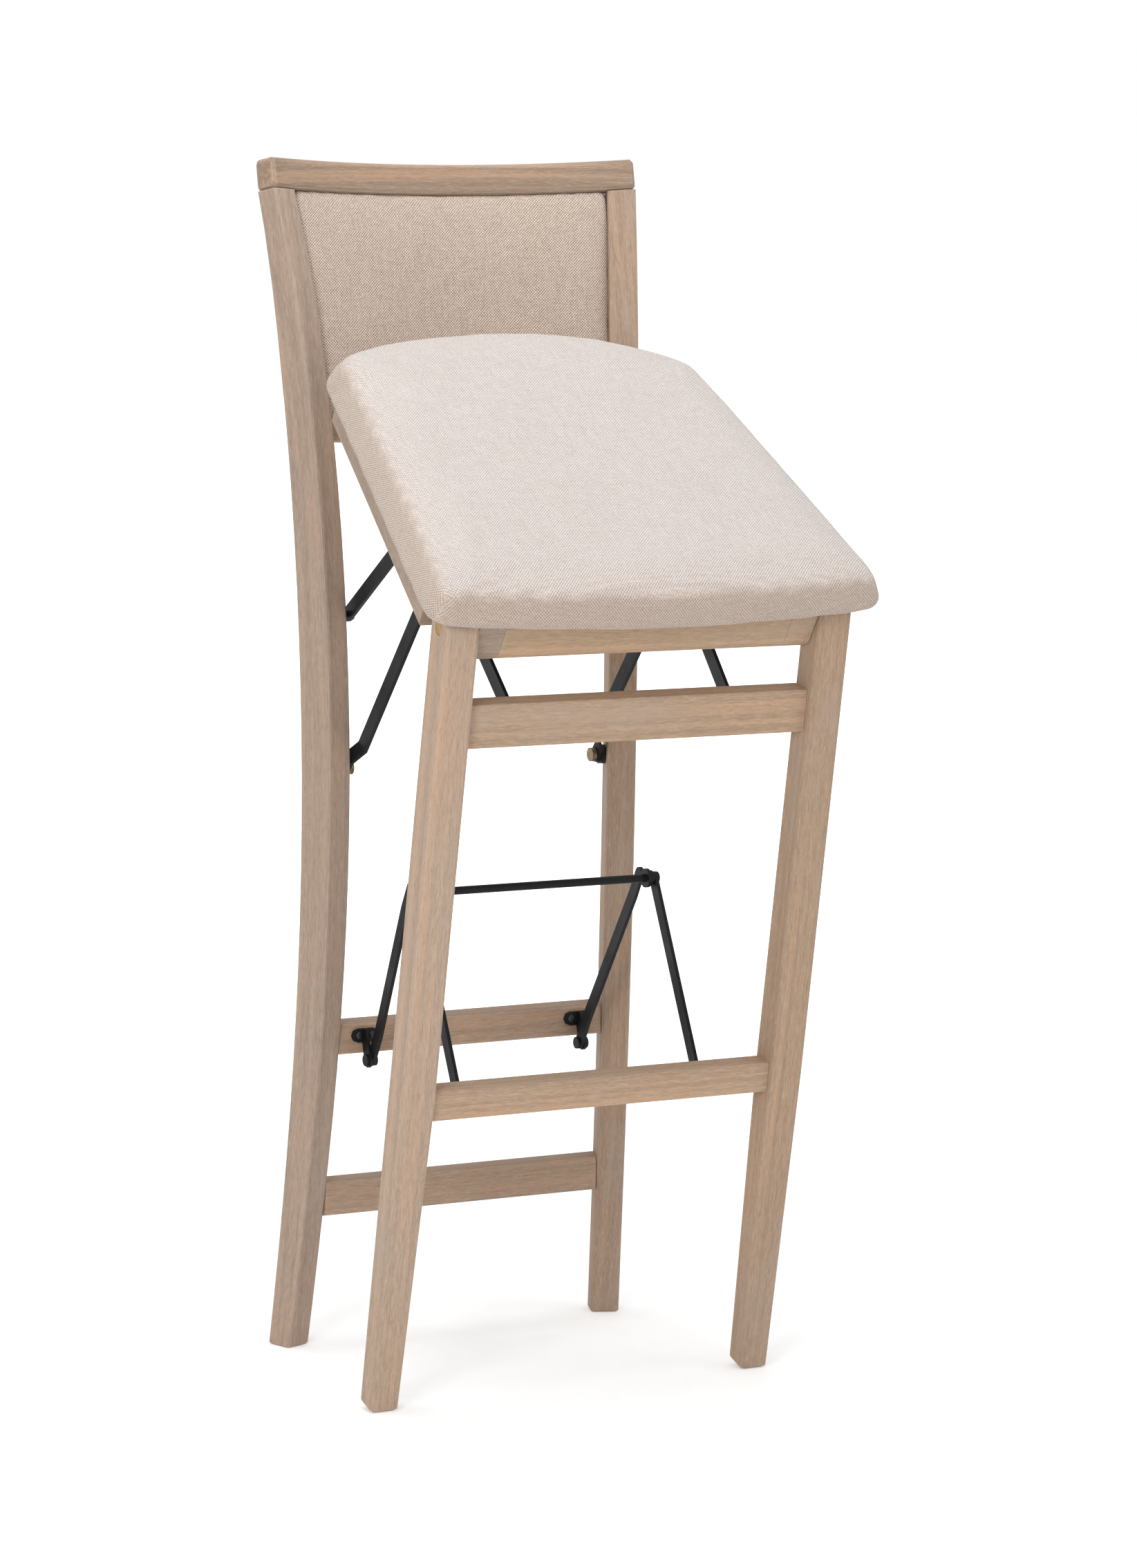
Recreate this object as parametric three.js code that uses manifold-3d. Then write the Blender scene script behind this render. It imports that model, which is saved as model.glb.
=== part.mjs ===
// Folding bar stool, in millimetres. +Z is up, the front faces -Y, and X = 0 is the mirror plane.
// Right parts are built at +X, and left parts are their mirror copies.
import * as THREE from "three";
import { mergeVertices } from "three/addons/utils/BufferGeometryUtils.js";
import Module from "manifold-3d";

// Clearances
const jointGap = 0.3;
const boreGap = 0.15;
const mergeSize = 0.001;

// Rear posts
const postHeight = 1060;
const postSpacing = 172.2; // half the distance between the outer front corners of the feet
const postWidth = 26.8;
const postDepth = 38;
const postBow = 46;
const postToe = THREE.MathUtils.degToRad(20.55);
const postRound = 3;
const postSoftEnd = 1.5;
const postFrontShares = [
  0, -0.269, -0.527, -0.742, -0.895, -0.979, -0.992, -0.929, -0.794, -0.581, -0.279, 0.136, 0.7,
];
const postDepthShares = [
  0.708, 0.753, 0.821, 0.89, 0.942, 0.979, 1, 1.005, 0.995, 0.966, 0.905, 0.781, 0.6,
];
const postRings = 25;

// Back between the posts, leaning about its lower front edge
const backLean = THREE.MathUtils.degToRad(12.5);
const backFrontY = 29.2;
const backRadius = 531.6;
const crestHeight = 28.2;
const crestDepth = 24;
const crestRound = 4;
const crestSoftEnd = 2.5;
const crestAngle = THREE.MathUtils.degToRad(20.55);
const crestEnd = THREE.MathUtils.degToRad(20.15);
const crestSteps = 16;
const padTop = 0.6;
const padBottom = 205.5;
const padStartHalf = 141;
const padCornerRound = 8;
const padBack = 11;
const padEdge = 4;
const padCrown = 8;
const padFlatness = 6;
const backRows = 16;
const backColumns = 20;
const settleSteps = 6;
const panelDepth = 7;
const panelInset = 0.6;
const panelCornerRound = 1;
const backRailTop = 205.9;
const backRailHeight = 20.5;
const backRailDepth = 17;
const backRailSetback = 3;
const backRailRound = 2;

// Rear stretchers: front face, depth, underside and height
const rearUpperY = -22;
const rearUpperDepth = 27.5;
const rearUpperZ = 276;
const rearUpperHeight = 28.5;
const rearLowerY = -8.6;
const rearLowerDepth = 25.8;
const rearLowerZ = 123.4;
const rearLowerHeight = 31.8;
const railRound = 2.5;

// Front frame, measured along the leaning legs from the floor point of their front line
const legLean = THREE.MathUtils.degToRad(9.31);
const legFootY = -241.4;
const legSpacing = 199.8; // half the width over the legs at the floor
const legDrawIn = 0.0037;
const legWidth = 32.1;
const legDepth = 31.5;
const legFootWidth = 27.1;
const legTaperHeight = 288;
const legFootSetback = 6.8;
const legSoftEnd = 2;
const legToeDrop = 1.4;
const legHeelRise = 2.2;
const legRound = 3.5;
const legTopSteps = 10;
const legTopShare = 0.2; // width left at the end of the round top
const pivotDepth = 15;
const pivotHeight = 711.7;
const upperStretcherSetback = 9;
const upperStretcherDepth = 23;
const upperStretcherBase = 604.3;
const upperStretcherHeight = 39.5;
const footrestSetback = 6;
const footrestDepth = 21;
const footrestBase = 269;
const footrestHeight = 28.7;

// Seat, measured from the pivot axis: s runs to the rear, n is square to the seat
const seatTilt = THREE.MathUtils.degToRad(31.5);
const seatTaper = 0.114;
const seatRailHalf = 197.4;
const seatRailWidth = 28;
const seatRailFront = 38.8;
const seatRailRear = 333;
const seatRailLow = -28.3;
const seatRailTop = 16;
const seatRailRound = 3;
const blockInner = 139;
const blockOuter = 164.4;
const blockFront = -11;
const blockRear = 75;
const frontRailDepth = 24;
const frontRailLow = -34;
const frontRailNose = 13;
const rearRailFront = 303;
const rearRailDepth = 18;
const rearRailLow = -11;
const boardThick = 8;
const boardInset = 19.5;
const cushionHalf = 218.9;
const cushionFront = -39;
const cushionRear = 370.5;
const cushionFrontArc = 1526;
const cushionRearArc = 377;
const cushionFrontCorner = 22;
const cushionRearCorner = 18;
const cushionLow = 17.6;
const cushionHigh = 58;
const cushionInsetShares = [0.12, 0.02, 0, 0.05, 0.17, 0.36, 0.62, 1];
const cushionLevelShares = [0, 0.1, 0.3, 0.5, 0.68, 0.82, 0.92, 0.97];
const cushionEdge = 28;
const cushionCrownInsets = [48, 90];
const cushionCrownShares = [0.99, 1];
const planCornerSteps = 8;
const planSideSteps = 7;
const planEdgeSteps = 12;

// Pivot axes in the side view, as Y and Z
const seatPivotYZ = [-341.8, 704.8];
const longBraceLowYZ = [-14.7, 539.2];
const longBraceHighYZ = [-207.7, 770];
const shortBraceLowYZ = [-19, 679.7];
const shortBraceHighYZ = [-187.7, 792.7];
const crossBraceLowYZ = [-298.6, 624.5];
const crossBraceHighYZ = [-181.3, 739.6];
const spreaderRearYZ = [-33.2, 271.6];
const rearLinkTopYZ = [-128.5, 445.5];
const crossRodYZ = [-147.4, 444];
const spreaderFrontYZ = [-240.8, 267];

// Steel links and their places across the stool
const longBraceWidth = 14.4;
const longBraceThick = 3.8;
const longBracePostGap = 9.1; // from the toed face of the post to the middle of the brace
const longBraceX = 119.2;
const longBraceTab = 12;
const longBraceKnee = 27;
const shortBraceWidth = 13.8;
const shortBracePostGap = 7.5; // from the toed face of the post to the middle of the brace
const shortBraceHighX = 130;
const shortBraceStudGap = 3;
const crossBraceWidth = 14.6;
const crossBraceLowX = 107.8;
const crossBraceHighX = 113.5;
const linkThick = 3.4;
const spreaderWidth = 11.4;
const rearLinkLowX = 107.1;
const rearLinkHighX = 115.6;
const rearLinkTab = 30;
const rearLinkKnee = 25;
const frontLinkX = 119.6;
const rodRadius = 3.7;
const hubRadius = 8.8;
const hubThick = 3.3;
const hubEndRadius = 7;

// Rivets, bolts and bushings
const rivetRadius = 3;
const rivetHead = 5.5;
const rivetHeadThick = 2;
const postBoltRadius = 3;
const postBoltHead = 6.5;
const postBoltHeadThick = 4.5;
const postBoltReach = 12;
const bushingRadius = 9;
const pivotBoltRadius = 4;
const pivotBoltHead = 6.5;
const pivotBoltHeadThick = 4.5;
const pivotBoltEnd = 142;
const plugRadius = 7;
const plugDepth = 8;
const plugSunk = 0.8;

// Brackets
const bracketThick = 2.5;
const earRound = 7;
const rearPlateInner = 95.5;
const rearPlateOuter = 122.9;
const rearPlateLow = 286.6;
const rearPlateHigh = 299.4;
const rearPlateRound = 6;
const footrestPlateInner = 106;
const footrestPlateOuter = 124.6;
const footrestPlateLow = 275;
const footrestPlateHigh = 293;
const stretcherPlateInner = 97;
const stretcherPlateOuter = 112.4;
const stretcherPlateLow = 613;
const stretcherPlateHigh = 638;
const seatEarThick = 2.8;
const seatEarFront = 131;
const seatEarRear = 199;
const seatEarLow = -24;
const seatFlangeWidth = 14.6;
const seatEarRound = 9;

const strapEndShares = [0.15, 0.35, 0.65, 1];
const roundSteps = 20;
const cornerSteps = 2;
const earSteps = 8;
const noseSteps = 5;

const wasm = await Module();
wasm.setup();

function geometryOf(position, index) {
  const geometry = new THREE.BufferGeometry();
  geometry.setAttribute("position", new THREE.Float32BufferAttribute(position, 3));
  geometry.setIndex(index);
  return geometry;
}

function volumeOf(geometry) {
  const at = geometry.getAttribute("position");
  const corner = [0, 1, 2].map(() => new THREE.Vector3());
  const { array } = geometry.getIndex();
  let volume = 0;
  for (let i = 0; i < array.length; i += 3) {
    corner.forEach((point, k) => point.fromBufferAttribute(at, array[i + k]));
    volume += corner[0].dot(corner[1].cross(corner[2])) / 6;
  }
  return volume;
}

// Turns a closed surface so that its faces point outwards.
function outward(geometry) {
  if (volumeOf(geometry) < 0) geometry.setIndex(Array.from(geometry.getIndex().array).reverse());
  return geometry;
}

// A closed solid through rings of equally many points, each end closed by a flat fan.
function loft(rings) {
  const size = rings[0].length;
  const index = [];
  rings.slice(1).forEach((ring, row) =>
    ring.forEach((point, i) => {
      const a = row * size + i;
      const b = row * size + ((i + 1) % size);
      index.push(a, b, b + size, a, b + size, a + size);
    }),
  );
  const last = (rings.length - 1) * size;
  for (let i = 1; i < size - 1; i += 1) {
    index.push(0, i + 1, i);
    index.push(last, last + i, last + i + 1);
  }
  return outward(geometryOf(rings.flat(2), index));
}

// Outline points of a rectangle with rounded corners, from its low corner to its high corner.
function roundedRing(low, high, radius) {
  const corners = [
    [high[0] - radius, high[1] - radius, 0],
    [low[0] + radius, high[1] - radius, 1],
    [low[0] + radius, low[1] + radius, 2],
    [high[0] - radius, low[1] + radius, 3],
  ];
  return corners.flatMap(([u, v, quarter]) =>
    Array.from({ length: cornerSteps + 1 }, (unused, i) => {
      const angle = (quarter + i / cornerSteps) * (Math.PI / 2);
      return [u + radius * Math.cos(angle), v + radius * Math.sin(angle)];
    }),
  );
}

function solidOf(geometry) {
  const bare = new THREE.BufferGeometry();
  const flat = geometry.index ? geometry.toNonIndexed() : geometry;
  bare.setAttribute("position", flat.getAttribute("position"));
  const merged = mergeVertices(bare, mergeSize);
  return new wasm.Manifold(
    new wasm.Mesh({
      numProp: 3,
      vertProperties: merged.getAttribute("position").array,
      triVerts: new Uint32Array(merged.getIndex().array),
    }),
  );
}

function fromSolid(solid) {
  const mesh = solid.getMesh();
  return geometryOf(Array.from(mesh.vertProperties), Array.from(mesh.triVerts));
}

function cut(geometry, ...tools) {
  return fromSolid(tools.reduce((solid, tool) => solid.subtract(solidOf(tool)), solidOf(geometry)));
}

function join(geometry, ...others) {
  return fromSolid(others.reduce((solid, other) => solid.add(solidOf(other)), solidOf(geometry)));
}

// A box from its low corner to its high corner.
function block(low, high) {
  const box = new THREE.Box3(new THREE.Vector3(...low), new THREE.Vector3(...high));
  const size = box.getSize(new THREE.Vector3());
  const centre = box.getCenter(new THREE.Vector3());
  return new THREE.BoxGeometry(...size).translate(...centre);
}

// A turned piece along X: pairs of radius and X, with its axis at a point of the side view.
function turned(steps, [y, z]) {
  const points = [[0, steps[0][1]], ...steps, [0, steps[steps.length - 1][1]]];
  const profile = points.map(([radius, x]) => new THREE.Vector2(radius, x));
  const geometry = mergeVertices(new THREE.LatheGeometry(profile, roundSteps).deleteAttribute("normal")
    .deleteAttribute("uv"), mergeSize);
  const faces = Array.from(geometry.getIndex().array);
  const kept = [];
  for (let i = 0; i < faces.length; i += 3) {
    const [a, b, c] = faces.slice(i, i + 3);
    if (a !== b && b !== c && a !== c) kept.push(a, b, c);
  }
  geometry.setIndex(kept);
  return outward(geometry.rotateZ(-Math.PI / 2).translate(0, y, z));
}

function rod(radius, from, to, centre) {
  return turned([[radius, from], [radius, to]], centre);
}

// A rivet along X with a head at each end.
function rivet(from, to, centre) {
  return turned(
    [
      [rivetHead, from - rivetHeadThick],
      [rivetHead, from],
      [rivetRadius, from],
      [rivetRadius, to],
      [rivetHead, to],
      [rivetHead, to + rivetHeadThick],
    ],
    centre,
  );
}

// A flat bar through points [x, y, z], flat across X, with half-round ends about its first and last points.
function strap(points, width, thick) {
  const path = points.map((point) => new THREE.Vector3(...point));
  const half = width / 2;
  const endAngles = strapEndShares.map((share) => (share * Math.PI) / 2);
  const flatWay = (a, b) => new THREE.Vector3(0, b.y - a.y, b.z - a.z).normalize();
  const ring = (centre, way, reach) => {
    const across = new THREE.Vector3(0, -way.z, way.y).multiplyScalar(reach);
    return [
      [centre.x - thick / 2, centre.y - across.y, centre.z - across.z],
      [centre.x + thick / 2, centre.y - across.y, centre.z - across.z],
      [centre.x + thick / 2, centre.y + across.y, centre.z + across.z],
      [centre.x - thick / 2, centre.y + across.y, centre.z + across.z],
    ];
  };
  const startWay = flatWay(path[0], path[1]);
  const endWay = flatWay(path[path.length - 2], path[path.length - 1]);
  const start = endAngles.map((angle) =>
    ring(path[0].clone().addScaledVector(startWay, -half * Math.cos(angle)), startWay,
      half * Math.sin(angle)));
  const middle = path.slice(1, -1).map((point, i) => ring(point, flatWay(path[i], path[i + 2]), half));
  const end = endAngles.toReversed().map((angle) =>
    ring(path[path.length - 1].clone().addScaledVector(endWay, half * Math.cos(angle)), endWay,
      half * Math.sin(angle)));
  return loft([...start, ...middle, ...end]);
}

// An outline in the side view, given thickness across X.
function sidePlate(outline, from, to) {
  return loft([from, to].map((x) => outline.map(([y, z]) => [x, y, z])));
}

const at = (x, [y, z]) => [x, y, z];

function between([y0, z0], [y1, z1], distance) {
  const share = distance / Math.hypot(y1 - y0, z1 - z0);
  return [y0 + (y1 - y0) * share, z0 + (z1 - z0) * share];
}

// The side view of the front frame, along and square to the legs.
function inFrontFrame([y, z]) {
  const depth = (y - legFootY) * Math.cos(legLean) + z * Math.sin(legLean);
  const height = z * Math.cos(legLean) - (y - legFootY) * Math.sin(legLean);
  return [depth, height];
}

// The side view of the seat, from its pivot axis.
function inSeat([y, z]) {
  const [py, pz] = seatPivotYZ;
  const s = (y - py) * Math.cos(seatTilt) + (z - pz) * Math.sin(seatTilt);
  const n = (z - pz) * Math.cos(seatTilt) - (y - py) * Math.sin(seatTilt);
  return [s, n];
}

// Half the clear width between the toed inner faces of the posts, at a depth Y.
function betweenPosts(y) {
  const inner = postSpacing - postWidth * Math.cos(postToe);
  return inner + (y - postWidth * Math.sin(postToe)) * Math.tan(postToe);
}

function rearPost() {
  const last = postFrontShares.length - 1;
  const line = (shares, size) =>
    new THREE.SplineCurve(shares.map((share, i) => new THREE.Vector2(i, share * size)));
  const front = line(postFrontShares, postBow);
  const depth = line(postDepthShares, postDepth);
  const place = (a, u, z) => [
    postSpacing - a * Math.cos(postToe) + u * Math.sin(postToe),
    a * Math.sin(postToe) + u * Math.cos(postToe),
    z,
  ];
  const section = (share, z, inset) => {
    const u = front.getPoint(share).y;
    const d = depth.getPoint(share).y;
    return roundedRing([inset, u + inset], [postWidth - inset, u + d - inset], postRound)
      .map(([a, v]) => place(a, v, z));
  };
  const rings = Array.from({ length: postRings }, (unused, i) => {
    const share = i / (postRings - 1);
    const height = (front.getPoint(share).x / last) * postHeight;
    return section(share, i === 0 ? postSoftEnd : height, 0);
  });
  const underCrest = (ring, drop) => ring.map(([x, y]) =>
    [x, y, postHeight - drop - (y - backFrontY) * Math.tan(backLean)]);
  const top = rings.pop();
  const solid = loft([section(0, 0, postSoftEnd), ...rings, underCrest(top, 0)]);
  const bore = (radius, yz) => {
    const face = betweenPosts(yz[0]);
    return rod(radius, face - postWidth, face + postBoltReach, yz);
  };
  return cut(
    solid,
    bore(postBoltRadius + boreGap, longBraceLowYZ),
    bore(rivetRadius + boreGap, shortBraceLowYZ),
  );
}

// A straight bar between the posts, with its ends cut to their toed faces.
function postRail(y, depth, z, height) {
  const section = roundedRing([y, z], [y + depth, z + height], railRound);
  return loft([-1, 1].map((side) => section.map(([v, w]) => [side * (betweenPosts(v) - jointGap), v, w])));
}

const leanBack = (geometry) => geometry.rotateX(-backLean).translate(0, backFrontY, postHeight + jointGap);

// Depth of the back's curve at a place across the stool, from the front corners of the crest.
function backCurve(x) {
  return Math.sqrt(backRadius * backRadius - x * x) - backRadius * Math.cos(crestAngle);
}

// Half the width between the posts for a piece of the back, at its depth and height in the leaning frame.
function backHalf(v, w) {
  let half = padStartHalf;
  for (let i = 0; i < settleSteps; i += 1) {
    const y = backFrontY + (backCurve(half) + v) * Math.cos(backLean) + w * Math.sin(backLean);
    half = betweenPosts(y) - jointGap;
  }
  return half;
}

// A closed solid between two matching grids of points.
function sheet(front, back) {
  const rows = front.length;
  const columns = front[0].length;
  const far = rows * columns;
  const index = [];
  const quad = (a, b, c, d) => index.push(a, b, c, a, c, d);
  for (let i = 0; i < rows - 1; i += 1) {
    for (let j = 0; j < columns - 1; j += 1) {
      const a = i * columns + j;
      quad(a, a + 1, a + 1 + columns, a + columns);
      quad(far + a + columns, far + a + 1 + columns, far + a + 1, far + a);
    }
    const left = i * columns;
    const right = left + columns - 1;
    quad(left, left + columns, far + left + columns, far + left);
    quad(right + columns, right, far + right, far + right + columns);
  }
  for (let j = 0; j < columns - 1; j += 1) {
    const top = (rows - 1) * columns + j;
    quad(j + 1, j, far + j, far + j + 1);
    quad(top, top + 1, far + top + 1, far + top);
  }
  return outward(geometryOf([...front, ...back].flat(2), index));
}

// A curved sheet between the posts, with rounded upper corners. Its depth may change over its face.
function backSheet(inset, cornerRound, depthAt, backAt) {
  const top = -padTop - inset;
  const bottom = -padBottom + inset;
  const grid = (depth) =>
    Array.from({ length: backRows + 1 }, (unused, i) => {
      const t = Math.sin((Math.PI / 2) * ((2 * i) / backRows - 1));
      const w = THREE.MathUtils.mapLinear(t, -1, 1, bottom, top);
      const above = THREE.MathUtils.clamp(w - (top - cornerRound), 0, cornerRound);
      const drawn = cornerRound - Math.sqrt(cornerRound ** 2 - above ** 2);
      return Array.from({ length: backColumns + 1 }, (other, j) => {
        const side = Math.sin((Math.PI / 2) * ((2 * j) / backColumns - 1));
        const v = depth(side, t);
        const x = side * (backHalf(depth(1, 1), w) - drawn - inset);
        return [x, backCurve(x) + v, w];
      });
    });
  return leanBack(sheet(grid(depthAt), grid(backAt)));
}

function backPad() {
  const crown = (side, t) => (1 - Math.abs(side) ** padFlatness) * (1 - Math.abs(t) ** padFlatness);
  return backSheet(0, padCornerRound, (side, t) => padEdge - padCrown * crown(side, t), () => padBack);
}

function backPanel() {
  const front = padBack + jointGap;
  return backSheet(panelInset, panelCornerRound, () => front, () => front + panelDepth);
}

function lowerBackRail() {
  const section = roundedRing([backRailSetback, -backRailTop - backRailHeight],
    [backRailSetback + backRailDepth, -backRailTop], backRailRound);
  const rings = Array.from({ length: crestSteps + 1 }, (unused, i) =>
    section.map(([v, w]) => {
      const x = ((2 * i) / crestSteps - 1) * backHalf(v, w);
      return [x, backCurve(x) + v, w];
    }));
  return leanBack(loft(rings));
}

// A solid through rings of a wide outline, whose two ends close along the middle instead of in a fan.
function domed(rings) {
  const size = rings[0].length;
  const centres = [rings[0], rings[rings.length - 1]].map((ring) =>
    [0, 1, 2].map((k) => ring.reduce((sum, point) => sum + point[k], 0) / size));
  const position = [...rings.flat(2), ...centres.flat()];
  const index = [];
  rings.slice(1).forEach((ring, row) =>
    ring.forEach((point, i) => {
      const a = row * size + i;
      const b = row * size + ((i + 1) % size);
      index.push(a, b, b + size, a, b + size, a + size);
    }),
  );
  const last = (rings.length - 1) * size;
  const centre = rings.length * size;
  for (let i = 0; i < size; i += 1) {
    const next = (i + 1) % size;
    index.push(centre, next, i);
    index.push(centre + 1, last + i, last + next);
  }
  return outward(geometryOf(position, index));
}

function crestRail() {
  const ring = (turn, inset) => {
    const corners = [[inset, inset], [crestDepth - inset, crestHeight - inset]];
    return roundedRing(...corners, crestRound).map(([v, w]) => [
      (backRadius + v) * Math.sin(turn),
      (backRadius + v) * Math.cos(turn) - backRadius * Math.cos(crestAngle),
      w,
    ]);
  };
  const straightEnd = crestEnd - crestSoftEnd / backRadius;
  const rings = Array.from({ length: crestSteps + 1 }, (unused, i) =>
    ring(straightEnd * ((2 * i) / crestSteps - 1), 0));
  return leanBack(loft([ring(-crestEnd, crestSoftEnd), ...rings, ring(crestEnd, crestSoftEnd)]));
}

function frontLeg() {
  const outer = (h) => legSpacing - legDrawIn * h;
  const footInner = outer(0) - legFootWidth;
  const section = (inner, out, frontAt, inset) =>
    roundedRing([inner + inset, frontAt + inset], [out - inset, legDepth - inset], legRound);
  const foot = (inset) =>
    section(footInner, outer(0), legFootSetback, inset).map(([x, a]) => {
      const rise = THREE.MathUtils.mapLinear(a, legFootSetback, legDepth, -legToeDrop, legHeelRise);
      return [x, a, rise + legSoftEnd - inset];
    });
  const top = Array.from({ length: legTopSteps + 1 }, (unused, i) => {
    const angle = (i / legTopSteps) * (Math.PI / 2);
    const reach = (legDepth / 2) * Math.max(Math.cos(angle), legTopShare);
    const h = pivotHeight + (legDepth / 2) * Math.sin(angle);
    const middle = legDepth / 2;
    const ring = roundedRing([outer(h) - legWidth, middle - reach], [outer(h), middle + reach],
      Math.min(legRound, reach / 2));
    return ring.map(([x, a]) => [x, a, h]);
  });
  const straight = section(outer(legTaperHeight) - legWidth, outer(legTaperHeight), 0, 0)
    .map(([x, a]) => [x, a, legTaperHeight]);
  const solid = loft([foot(legSoftEnd), foot(0), straight, ...top]);
  const axis = [pivotDepth, pivotHeight];
  const face = outer(pivotHeight);
  return leanForward(
    cut(
      solid,
      rod(plugRadius + boreGap, face - plugDepth - pivotBoltHeadThick - jointGap, face + legWidth, axis),
      rod(pivotBoltRadius + boreGap, face - 2 * legWidth, face, axis),
    ),
  );
}

const leanForward = (geometry) => geometry.rotateX(legLean).translate(0, legFootY, 0);

const plugFace = () => legSpacing - legDrawIn * pivotHeight;

function legPlug() {
  const face = plugFace();
  return leanForward(rod(plugRadius, face - plugDepth, face - plugSunk, [pivotDepth, pivotHeight]));
}

function pivotBolt() {
  const under = plugFace() - plugDepth - jointGap;
  return leanForward(
    turned(
      [
        [pivotBoltRadius, pivotBoltEnd],
        [pivotBoltRadius, under - pivotBoltHeadThick + jointGap],
        [pivotBoltHead, under - pivotBoltHeadThick + jointGap],
        [pivotBoltHead, under],
      ],
      [pivotDepth, pivotHeight],
    ),
  );
}

// A straight bar between the legs.
function legRail(setback, depth, base, height) {
  const section = roundedRing([setback, base], [setback + depth, base + height], railRound);
  const end = (h) => legSpacing - legDrawIn * h - THREE.MathUtils.mapLinear(
    Math.min(h, legTaperHeight), 0, legTaperHeight, legFootWidth, legWidth);
  return leanForward(loft([-1, 1].map((side) =>
    section.map(([v, w]) => [side * (end(w) - jointGap), v, w]))));
}

const onSeat = (geometry) => geometry.rotateX(seatTilt).translate(0, ...seatPivotYZ);

const seatRailOuter = (s) => seatRailHalf - seatTaper * s;
const seatRailInner = (s) => seatRailOuter(s) - seatRailWidth;

function seatSideRail() {
  const rings = [seatRailFront, seatRailRear].map((s) =>
    roundedRing([seatRailInner(s), seatRailLow], [seatRailOuter(s), seatRailTop], seatRailRound)
      .map(([x, n]) => [x, s, n]));
  return onSeat(loft(rings));
}

// Side view of the front rail and its end blocks, with a rounded lower front edge.
function noseOutline(rear, low) {
  const nose = Array.from({ length: noseSteps + 1 }, (unused, i) => {
    const angle = Math.PI + (i / noseSteps) * (Math.PI / 2);
    return [
      blockFront + frontRailNose + frontRailNose * Math.cos(angle),
      low + frontRailNose + frontRailNose * Math.sin(angle),
    ];
  });
  return [[rear, seatRailTop], [blockFront, seatRailTop], ...nose, [rear, low]];
}

function seatPivotBlock() {
  const behind = blockRear;
  const outerAt = (s) => Math.min(blockOuter, seatRailInner(Math.max(s, seatRailFront)) - jointGap);
  const front = sidePlate(noseOutline(seatRailFront, frontRailLow), blockInner, blockOuter);
  const corners = [
    [blockInner, seatRailFront - mergeSize],
    [outerAt(seatRailFront), seatRailFront - mergeSize],
    [outerAt(behind), behind],
    [blockInner, behind],
  ];
  const rear = loft([seatRailLow, seatRailTop].map((n) => corners.map(([x, s]) => [x, s, n])));
  const solid = join(front, rear);
  const bore = rod(pivotBoltRadius + boreGap, blockInner - legWidth, blockOuter + legWidth, [0, 0]);
  return onSeat(cut(solid, bore));
}

function seatFrontRail() {
  const half = blockInner - jointGap;
  return onSeat(sidePlate(noseOutline(blockFront + frontRailDepth, frontRailLow), -half, half));
}

function seatRearRail() {
  const rings = [rearRailFront, rearRailFront + rearRailDepth].map((s) => {
    const half = seatRailInner(s) - jointGap;
    return roundedRing([-half, rearRailLow], [half, seatRailTop], seatRailRound).map(([x, n]) => [x, s, n]);
  });
  return onSeat(loft(rings));
}

// Plan outline of the cushion, drawn in by an inset: bowed front and rear edges and rounded corners.
function seatPlan(inset) {
  const front = (x) => cushionFront + (x * x) / (2 * cushionFrontArc) + inset;
  const rear = (x) => cushionRear - (x * x) / (2 * cushionRearArc) - inset;
  const side = (s) => cushionHalf - seatTaper * s - inset;
  const corner = (edge, near, round, way) => {
    const half = side(edge(side(near)));
    const along = edge(half) + way * round;
    return {
      tip: [half, edge(half)],
      onSide: [side(along), along],
      onEdge: [half - round, edge(half - round)],
    };
  };
  const rearRight = corner(rear, cushionRear, cushionRearCorner + inset / 2, -1);
  const frontRight = corner(front, cushionFront, cushionFrontCorner + inset / 2, 1);
  const right = [
    frontRight.onEdge,
    ...arcPoints(frontRight),
    ...straightPoints(frontRight.onSide, rearRight.onSide),
    ...arcPoints(rearRight).toReversed(),
    rearRight.onEdge,
  ];
  const edgePoints = (edge, from) => Array.from({ length: planEdgeSteps - 1 }, (unused, i) => {
    const x = THREE.MathUtils.mapLinear(i + 1, 0, planEdgeSteps, from, -from);
    return [x, edge(x)];
  });
  return [
    ...right,
    ...edgePoints(rear, rearRight.onEdge[0]),
    ...right.toReversed().map(([x, s]) => [-x, s]),
    ...edgePoints(front, -frontRight.onEdge[0]),
  ];
}

// Points of a corner's curve, without its ends.
function arcPoints({ tip, onSide, onEdge }) {
  return Array.from({ length: planCornerSteps }, (unused, i) => {
    const t = (i + 1) / (planCornerSteps + 1);
    const shares = [(1 - t) * (1 - t), 2 * t * (1 - t), t * t];
    return [0, 1].map((k) => shares[0] * onEdge[k] + shares[1] * tip[k] + shares[2] * onSide[k]);
  });
}

function straightPoints(from, to) {
  return Array.from({ length: planSideSteps + 1 }, (unused, i) =>
    [0, 1].map((k) => THREE.MathUtils.lerp(from[k], to[k], i / planSideSteps)));
}

function seatBoard() {
  const low = seatRailTop + jointGap;
  const rings = [low, low + boardThick].map((n) => seatPlan(boardInset).map(([x, s]) => [x, s, n]));
  return onSeat(domed(rings));
}

function seatCushion() {
  const rise = cushionHigh - cushionLow;
  const side = cushionLevelShares.map((share, i) =>
    [cushionInsetShares[i] * cushionEdge, cushionLow + share * rise]);
  const crown = cushionCrownInsets.map((inset, i) => [inset, cushionLow + cushionCrownShares[i] * rise]);
  const rings = [...side, ...crown].map(([inset, n]) => seatPlan(inset).map(([x, s]) => [x, s, n]));
  const top = seatRailTop + jointGap + boardThick + jointGap;
  const hole = seatPlan(boardInset - jointGap);
  const pocket = [cushionLow - boardThick, top].map((n) => hole.map(([x, s]) => [x, s, n]));
  return onSeat(cut(domed(rings), domed(pocket)));
}

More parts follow.
